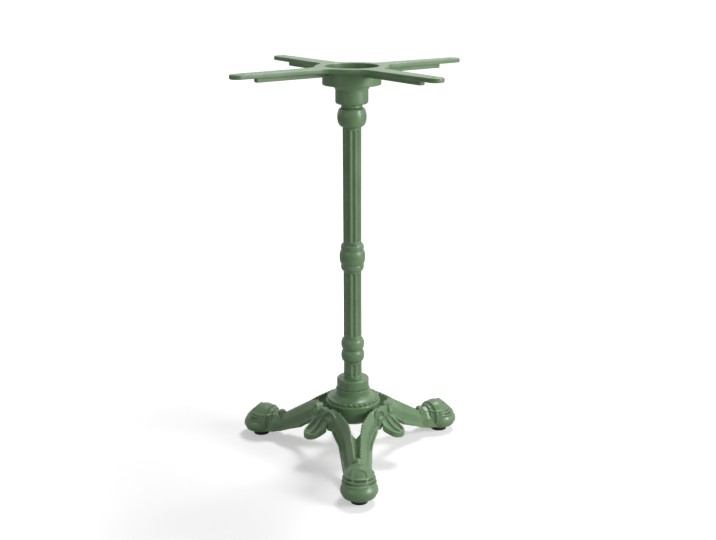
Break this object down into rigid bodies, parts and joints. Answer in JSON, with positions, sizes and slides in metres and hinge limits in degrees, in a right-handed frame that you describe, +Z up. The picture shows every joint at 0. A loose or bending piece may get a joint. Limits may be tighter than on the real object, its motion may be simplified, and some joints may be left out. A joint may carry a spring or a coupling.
{
  "type": "table base",
  "caption": "Cast pedestal table base: fluted column on a three-leg foot with scrolled arms, shells and round toes, and a four-arm spider that screws under a table top.",
  "frame": {"origin": "on the floor, on the column's axis", "axes": "+Z up along the column; +X and +Y along two neighbouring arms of the top spider"},
  "size_m": [0.478, 0.478, 0.72],
  "materials": {
    "green_paint": "soft-gloss green paint over cast iron",
    "fastener_steel": "zinc-plated",
    "glide_rubber": "matt black"
  },
  "bodies": {
    "root": {"base_casting": "green_paint", "column": "green_paint", "top_spider": "green_paint", "tie_rod": "fastener_steel", "rod_nuts": "fastener_steel", "rod_washers": "fastener_steel", "glide_pads": "glide_rubber", "glide_studs": "fastener_steel"}
  },
  "joints": []
}
